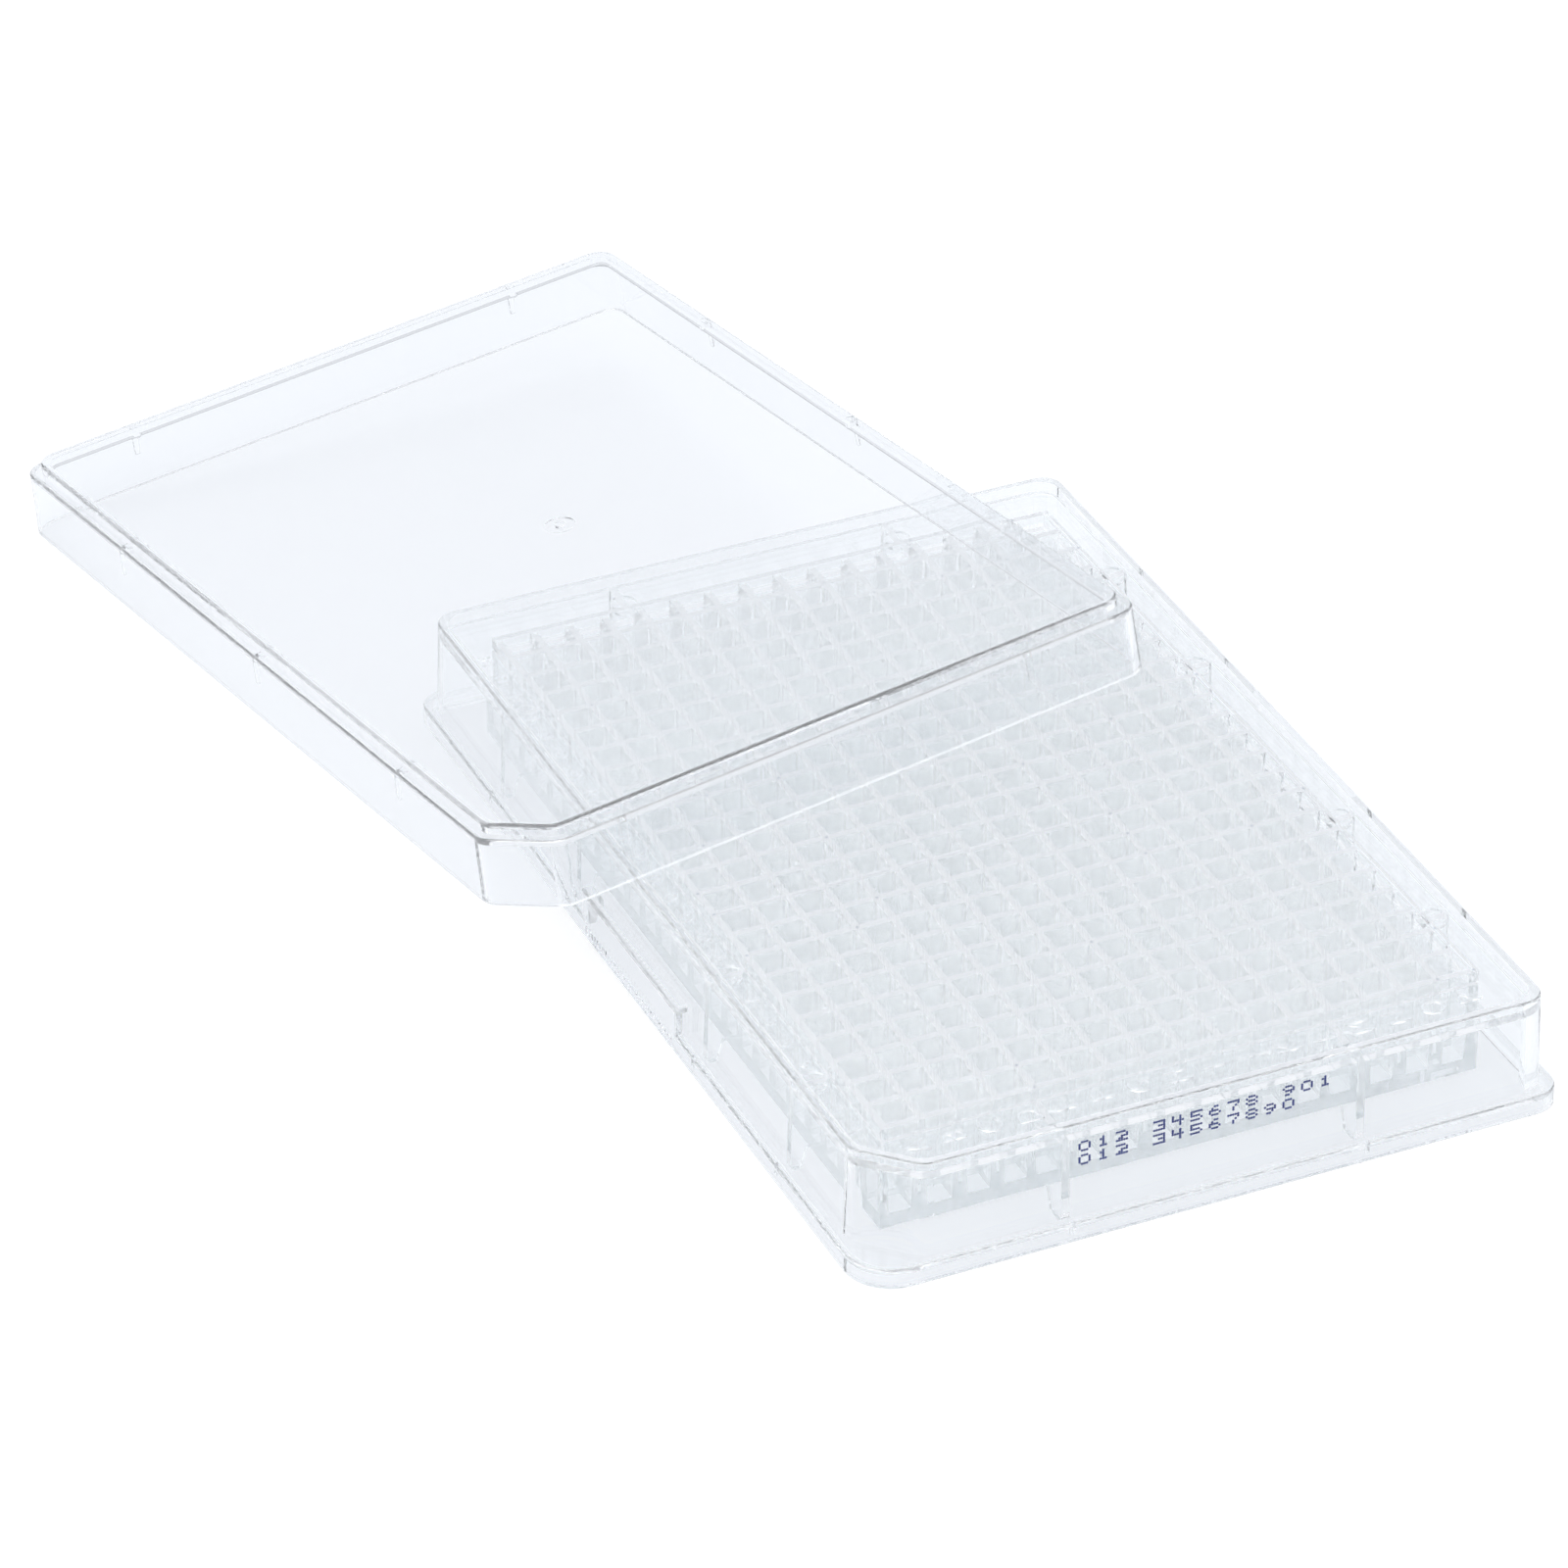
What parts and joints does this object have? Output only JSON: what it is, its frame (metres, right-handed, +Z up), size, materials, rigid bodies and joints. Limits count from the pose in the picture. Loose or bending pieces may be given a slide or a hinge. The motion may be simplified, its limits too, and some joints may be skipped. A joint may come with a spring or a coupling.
{
  "type": "well plate",
  "caption": "Clear rectangular microplate of small square wells, with its matching clear lid leaning half off it onto the table.",
  "frame": {"origin": "middle of the plate's footprint, on the surface that the plate stands on", "axes": "+X along the rows of wells from column 1 to the last column, +Y across them towards row A, +Z up out of the wells"},
  "size_m": [0.1984, 0.1127, 0.0292],
  "materials": {
    "clear_plate": "gloss",
    "clear_lid": "gloss"
  },
  "bodies": {
    "root": {"plate": "clear_plate", "lid": "clear_lid"}
  },
  "joints": []
}
